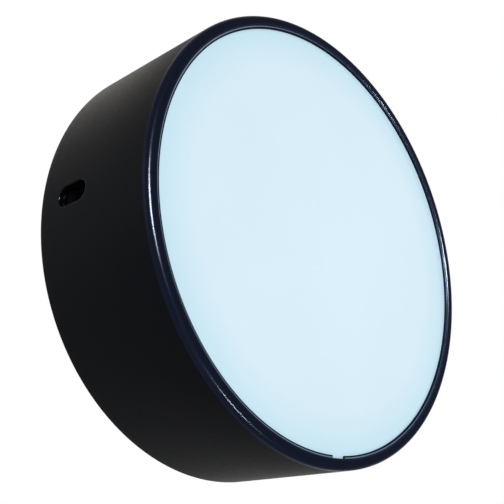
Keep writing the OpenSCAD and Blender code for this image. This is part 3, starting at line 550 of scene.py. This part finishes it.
# Each boss is a block with a round nose, and a blind hole for one of the tray's screws.
boss_in_r = 0.08
boss_y = 0.004
boss_nose_r = 0.00395
boss_z = -0.0558
boss_rear_z = -0.0399
boss_hole_r = 0.00155
boss_hole_at = 0.084
boss_hole_z = -0.0469
boss = rounded([(boss_in_r, -boss_y, boss_nose_r), (root_r, -boss_y, 0), (root_r, boss_y, 0),
                (boss_in_r, boss_y, boss_nose_r)], 12)
boss_hole = circle(boss_hole_r, (boss_hole_at, 0), 24)
boss_faces = [wall(boss, boss_z, boss_rear_z), wall(boss_hole, boss_hole_z, boss_rear_z),
              flat([boss], boss_z), flat([boss, boss_hole], boss_rear_z), flat([boss_hole], boss_hole_z)]


def spun(points, degrees):
    """Turns points about +Z."""
    a = np.radians(degrees)
    return points @ np.array([[np.cos(a), np.sin(a), 0], [-np.sin(a), np.cos(a), 0], [0, 0, 1]])


make_piece("drum_bosses",
           [(spun(points, a), quads) for a in range(45, 360, 90) for points, quads in boss_faces],
           powder_coat, "lamp")


# ---- Diffuser seal ----
# Flat ring cut from white silicone sheet. It lies on the drum's ledge, and the diffuser is pressed against
# it. Silicone is smooth and dull, and a little translucent.

seal_in_r = 0.0808
seal_out_r = 0.0848
seal_z = -0.0579
seal_edge_r = 0.0001
silicone = finish("white_silicone", "#dcdcd6", "#e6e6e2", 0.55, 0.001, 0.000004,
                  shader={"Subsurface Weight": 0.1, "Subsurface Scale": 0.001})
seal = rounded([(seal_in_r, seal_z, seal_edge_r), (seal_out_r, seal_z, seal_edge_r),
                (seal_out_r, ledge_z, seal_edge_r), (seal_in_r, ledge_z, seal_edge_r)], 3)
make_piece("diffuser_seal_ring", [revolve(seal, steps=180)], silicone, "lamp",
           ["diffuser_seal"])


# ---- Diffuser ----
# Flat disc of opal acrylic, 2.5 mm thick, dropped into the opening from the front. The LEDs behind it light
# it evenly in a cool white, a little weaker and greener towards its edge. Its surface is glossy.

diffuser_r = 0.0853
diffuser_z = -0.0604
diffuser_edge_r = 0.0003
opal, tree = empty_material("opal_acrylic")
place = add(tree, "TexCoord").outputs["Object"]
share = add(tree, "Math", {"operation": "DIVIDE", 1: diffuser_r}, {0: from_axis(tree, place)}).outputs[0]
glow = add(tree, "ValToRGB", {}, {"Fac": share},
           [(0.0, "#bdd0da"), (0.8, "#bacdd7"), (1.0, "#a4c5d2")]).outputs[0]
cloud = add(tree, "TexNoise", {"Scale": 18.0, "Detail": 2.0}, {"Vector": place}).outputs[0]
body_tone = add(tree, "ValToRGB", {}, {"Fac": cloud},
                [(pattern_low, "#8b959a"), (pattern_high, "#909a9f")]).outputs[0]
surface = add(tree, "BsdfPrincipled", {"Roughness": 0.05, "IOR": 1.49, "Emission Strength": 1.0},
              {"Base Color": body_tone, "Emission Color": glow})
add(tree, "OutputMaterial", {}, {"Surface": surface.outputs[0]})
disc = rounded([(0, diffuser_z, 0), (diffuser_r, diffuser_z, diffuser_edge_r),
                (diffuser_r, seal_z, diffuser_edge_r), (0, seal_z, 0)], 4, closed=False)
make_piece("diffuser_disc", [revolve(disc, across=False)], opal, "lamp", ["diffuser"])


# ---- Retaining ring ----
# Open ring of blackened spring steel, squeezed and let go in the rim's groove to hold the diffuser.
# The black oxide is thin, half matt and slightly blue. A band of bright blue-grey metal where the ring's
# front meets the groove's lip is a painted highlight line.

ring_in_r = 0.0846
ring_out_r = 0.0868
ring_edge_r = 0.00015
ring_gap = 0.007                   # between the ring's two ends
ring_gap_at = 177                  # degrees from +X to the middle of the gap
grain_size = 0.002
highlight_band_r = 0.0851                    # the painted highlight band on the ring's front face starts here
highlight_band_fade = 0.0002
front_skin = 0.0001                # what lies no deeper than this counts as the ring's front face
black_steel, tree = empty_material("blackened_spring_steel")
place = add(tree, "TexCoord").outputs["Object"]
parts = add(tree, "SeparateXYZ", {}, {"Vector": place}).outputs
grain = add(tree, "TexNoise", {"Scale": 1 / grain_size}, {"Vector": place}).outputs[0]
near_lip = add(tree, "MapRange", {"From Min": highlight_band_r, "From Max": highlight_band_r + highlight_band_fade},
               {"Value": from_axis(tree, place)}).outputs[0]
on_front = add(tree, "MapRange", {"From Min": groove_z + 2 * front_skin, "From Max": groove_z + front_skin},
               {"Value": parts["Z"]}).outputs[0]
painted_highlight_band = add(tree, "Math", {"operation": "MULTIPLY"}, {0: near_lip, 1: on_front}).outputs[0]
oxide = add(tree, "ValToRGB", {}, {"Fac": grain},
            [(pattern_low, "#05080f"), (pattern_high, "#090d17")]).outputs[0]
# Painted highlight: a bright blue-grey metal band along the ring's front edge.
colour_with_painted_light = add(tree, "MixRGB", {"Color2": linear("#8298b0")}, {"Fac": painted_highlight_band, "Color1": oxide}).outputs[0]
uneven = add(tree, "MapRange",
             {"From Min": pattern_low, "From Max": pattern_high, "To Min": -0.03, "To Max": 0.03},
             {"Value": grain}).outputs[0]
level = add(tree, "MapRange", {"To Min": 0.4, "To Max": 0.15}, {"Value": painted_highlight_band}).outputs[0]
rough = add(tree, "Math", {"operation": "ADD"}, {0: level, 1: uneven}).outputs[0]
surface = add(tree, "BsdfPrincipled", {"IOR": 1.25, "Specular IOR Level": 0.07},
              {"Base Color": colour_with_painted_light, "Roughness": rough, "Metallic": painted_highlight_band})
add(tree, "OutputMaterial", {}, {"Surface": surface.outputs[0]})
section = rounded([(ring_in_r, groove_z, ring_edge_r), (ring_out_r, groove_z, ring_edge_r),
                   (ring_out_r, diffuser_z, ring_edge_r), (ring_in_r, diffuser_z, ring_edge_r)], 3)
half_gap = np.degrees(np.arcsin(ring_gap / (ring_in_r + ring_out_r)))
a = np.radians(np.linspace(ring_gap_at + half_gap, ring_gap_at + 360 - half_gap, 358))[:, None]
r, z = section.T
rings = np.stack([r * np.cos(a), r * np.sin(a), z + 0 * a], -1)
ends = [(rings[i], [list(range(len(section)))]) for i in (0, -1)]
make_piece("retaining_ring_spring", [strip(rings)] + ends, black_steel, "lamp",
           ["retaining_ring"])


# ---- Reflector ----
# White reflector pressed from coated sheet. It stands on the drum's ledge and sends stray light forwards.
# The coating is matt, so that no image of the LEDs shows in it.

white_sheet = finish("white_reflector_coating", "#e6e6e4", "#ededeb", 0.7, 0.0012, 0.000005)
dress(white_sheet, "reflector_cup")


# ---- LED board ----
# Aluminium board with a white solder mask, 60 LEDs in four rings, and a white nylon socket for the leads.
# Each LED is a small lens of clear resin over yellow phosphor.

white_mask = finish("white_solder_mask", "#e0e0da", "#e8e8e4", 0.32, 0.003, 0.000003)
phosphor = finish("led_phosphor_resin", "#dcb848", "#f0d878", 0.25, 0.0012, 0.000004, pattern="TexVoronoi")
nylon = finish("moulded_nylon", "#d8d4c8", "#e2dfd4", 0.48, 0.0012, 0.000006)
heat_pad = finish("silicone_heat_pad", "#8b9cab", "#9aabb9", 0.7, 0.001, 0.00001)
dress(white_mask, "led_board")
dress(phosphor, "led_chips")
dress(nylon, "led_connector")
dress(heat_pad, "thermal_pad")
dress(bright_zinc, "board_screws")


# ---- Heat tray ----
# Disc cut from bare rolled aluminium, 2 mm thick. It takes the heat to the drum and carries the driver and
# the terminal block. Rolling leaves long straight streaks along X.

aluminium = finish("rolled_aluminium", "#b4b6b9", "#c6c8cb", 0.34, 0.0006, 0.000004, 0.06, (0.03, 1, 1),
                   shader={"Metallic": 1.0})
dress(aluminium, "heat_tray")
dress(bright_zinc, "tray_screws")


# ---- Driver ----
# The LED driver: a moulded case in two halves, screwed to the tray, with its circuit board inside.
# Case plastic has a fine sparked texture; the parts on the board have the finishes of such parts.

case_plastic = finish("moulded_abs", "#2f2f31", "#3b3b3d", 0.52, 0.0005, 0.00002)
green_mask = finish("green_solder_mask", "#2a5f36", "#31703f", 0.3, 0.0015, 0.000004)
ferrite = finish("sintered_ferrite", "#2d2f33", "#393c40", 0.75, 0.0006, 0.00001)
tape = finish("polyester_tape", "#c9962f", "#dcae4c", 0.22, 0.0012, 0.000006, stretch=(1, 1, 5))
sleeve = finish("capacitor_sleeve", "#1f2d45", "#293852", 0.24, 0.004, 0.000003)
resin = finish("chip_resin", "#141414", "#1c1c1c", 0.6, 0.0003, 0.000005)
dress(case_plastic, "driver_base", "driver_cover")
dress(green_mask, "driver_circuit_board")
dress(ferrite, "driver_transformer", "driver_choke")
dress(tape, "transformer_winding")
dress(sleeve, "driver_capacitors")
dress(resin, "driver_chips")
dress(bright_zinc, "driver_screws")


# ---- Terminal block and earth tag ----
# Three-pole nylon block with brass clamps and plated screws, and a tinned tag that earths the tray.

tin = finish("tinned_copper", "#b9b9b5", "#cfcfcb", 0.28, 0.001, 0.000004, shader={"Metallic": 1.0})
dress(nylon, "terminal_block")
dress(brass, "terminal_clamps", "earth_screw")
dress(bright_zinc, "terminal_screws", "block_screws")
dress(tin, "earth_tag")


# ---- Leads ----
# Short fixed leads in PVC: brown, blue and green-and-yellow from the block, red and black to the LED board.
# Extruded PVC is smooth and a little waxy, with slow waves along its length.

def smooth_line(route, steps=8):
    """The Catmull-Rom curve, in metres, through a route in millimetres.

    Between b and c, with a before and d behind them, it is half of
    2b + (c - a) t + (2a - 5b + 4c - d) t ** 2 + (3b - a - 3c + d) t ** 3, with t from 0 to 1.
    """
    route = np.array(route, float) / 1000
    last = len(route) - 1
    a, b, c, d = (route[np.clip(np.arange(last) + k, 0, last), None] for k in (-1, 0, 1, 2))
    t = np.linspace(0, 1, steps, endpoint=False)[None, :, None]
    curve = 0.5 * (2 * b + (c - a) * t + (2 * a - 5 * b + 4 * c - d) * t ** 2
                   + (3 * b - a - 3 * c + d) * t ** 3)
    return np.vstack([curve.reshape(-1, 3), route[-1:]])


mains_d = 0.0024
led_d = 0.0016
mains = [[-68, 0, -32.3], [-60, 0, -32.3], [-56, 0, -31.8], [-52, 0, -29.9], [-48, 0, -29.9],
         [-46.2, 0, -29.9]]
live = np.array(mains) + np.array([[0, -9, 0]] * 3 + [[0, -8, 0]] * 3)
earth = [[-68, 9, -32.3], [-60, 9, -32.3], [-56, 10, -31.8], [-53.5, 15, -32.3], [-53, 19, -35.9],
         [-53, 21, -35.9], [-53, 22.5, -35.9]]
led = np.array([[46.2, 3, -29.9], [48, 3, -29.9], [51, 3, -29.9], [59, 2, -31.4], [63, 1.6, -34.9],
                [63, 1.6, -37.9], [63, 1.6, -41.9]])
for name, slot, route, diameter, level, dark, light in (
        ("live_lead", "brown_pvc", live, mains_d, (0, 1, 0), "#5e3820", "#6e452a"),
        ("neutral_lead", "blue_pvc", mains, mains_d, (0, 1, 0), "#2a58a0", "#3263ad"),
        ("earth_lead", "green_yellow_pvc", earth, mains_d, (0, 0, 1), "#c7c02c", "#4f8f35"),
        ("led_lead_positive", "red_pvc", led, led_d, (0, 1, 0), "#a8221b", "#b72c22"),
        ("led_lead_negative", "black_pvc", led * [1, -1, 1], led_d, (0, 1, 0), "#161616", "#1e1e1e")):
    pvc = finish(name.replace("lead", "pvc"), dark, light, 0.42, 0.003, 0.000008)
    make_piece(name + "_wire", [tube(smooth_line(route), diameter, level)], pvc, "lamp", [name])


# ---- Studio ----
# A pale floor well below the lamp, white surroundings, six square lamps, and the camera of the photograph.
# Four of the lamps only show in reflections.

floor_z = -0.95
floor_reach = 6
floor_paint, tree = empty_material("pale_floor")
surface = add(tree, "BsdfDiffuse", {"Color": linear("#f4f4f4")})
add(tree, "OutputMaterial", {}, {"Surface": surface.outputs[0]})
corners = [(x * floor_reach, y * floor_reach, floor_z) for x, y in ((-1, -1), (1, -1), (1, 1), (-1, 1))]
mesh = bpy.data.meshes.new("floor")
mesh.from_pydata(corners, [], [(0, 1, 2, 3)])
mesh.materials.append(floor_paint)
floor = bpy.data.objects.new("floor", mesh)
bpy.context.scene.collection.objects.link(floor)

world = bpy.data.worlds.new("studio")
bpy.context.scene.world = world
world.use_nodes = True
tree = world.node_tree
tree.nodes.clear()
ray = add(tree, "LightPath")
seen = add(tree, "Math", {"operation": "ADD"},
           {0: ray.outputs["Is Camera Ray"], 1: ray.outputs["Is Glossy Ray"]}).outputs[0]
seen = add(tree, "Math", {"operation": "ADD", "use_clamp": True},
           {0: seen, 1: ray.outputs["Is Transmission Ray"]}).outputs[0]
around = add(tree, "Background", {"Color": linear("#e6eaee"), "Strength": 0.7}).outputs[0]
white = add(tree, "Background", {"Color": (1, 1, 1, 1), "Strength": 1.0}).outputs[0]
mixed = add(tree, "MixShader", {}, {0: seen, 1: around, 2: white})
add(tree, "OutputWorld", {}, {"Surface": mixed.outputs[0]})


def lamp(name, place, size, power, colour="#ffffff", only_gloss=False):
    """A square area lamp at place that faces the middle. With only_gloss it only shows in reflections."""
    light = bpy.data.lights.new(name, "AREA")
    light.size, light.energy, light.color = size, power, linear(colour)[:3]
    holder = bpy.data.objects.new(name, light)
    back = np.array(place, float) - middle
    back /= np.linalg.norm(back)
    right = np.cross([0, 0, 1], back)
    right /= np.linalg.norm(right)
    holder.matrix_world = Matrix(np.vstack([np.column_stack([right, np.cross(back, right), back, place]),
                                            [0, 0, 0, 1]]).tolist())
    holder.visible_diffuse = not only_gloss
    bpy.context.scene.collection.objects.link(holder)


middle = (0, 0, -0.03)
lamp("key", (-0.9, -0.5, -0.75), 0.5, 3.0)
lamp("fill", (0.3, -1.2, 0.5), 0.8, 4.0)
# Two small softboxes whose images are the bright lines on the rim.
lamp("rim_light", (0.18, -0.338, -0.795), 0.28, 225.0, "#dfe8ff", only_gloss=True)
lamp("rim_glint", (-0.518, 0.095, -0.71), 0.16, 38.0, "#dfe8ff", only_gloss=True)
# Two warm panels behind the lamp, whose images lift the wall at both ends of what is seen of it.
lamp("warm_panel", (0.58, 0.06, 0.7), 0.4, 0.9, "#fff0dc", only_gloss=True)
lamp("end_panel", (-0.1, 0.7, 0.56), 0.4, 0.35, "#fff4e8", only_gloss=True)

camera = bpy.data.objects.new("camera", bpy.data.cameras.new("camera"))
camera.data.lens = 61.81
camera.data.sensor_width = 36.0
camera.data.shift_x, camera.data.shift_y = -0.0794, 0.0247       # the photo is a crop, off its centre
camera.data.clip_start = 0.01
eye = (-0.12594, -0.24296, -0.26110)
right = (-0.00100, 0.66876, -0.74348)
up = (0.94029, -0.25243, -0.22833)
ahead = (0.34037, 0.69931, 0.62858)
columns = np.column_stack([right, up, np.negative(ahead), eye])
camera.matrix_world = Matrix(np.vstack([columns, [0, 0, 0, 1]]).tolist())
bpy.context.scene.collection.objects.link(camera)
bpy.context.scene.camera = camera
bpy.context.scene.view_settings.view_transform = "Standard"
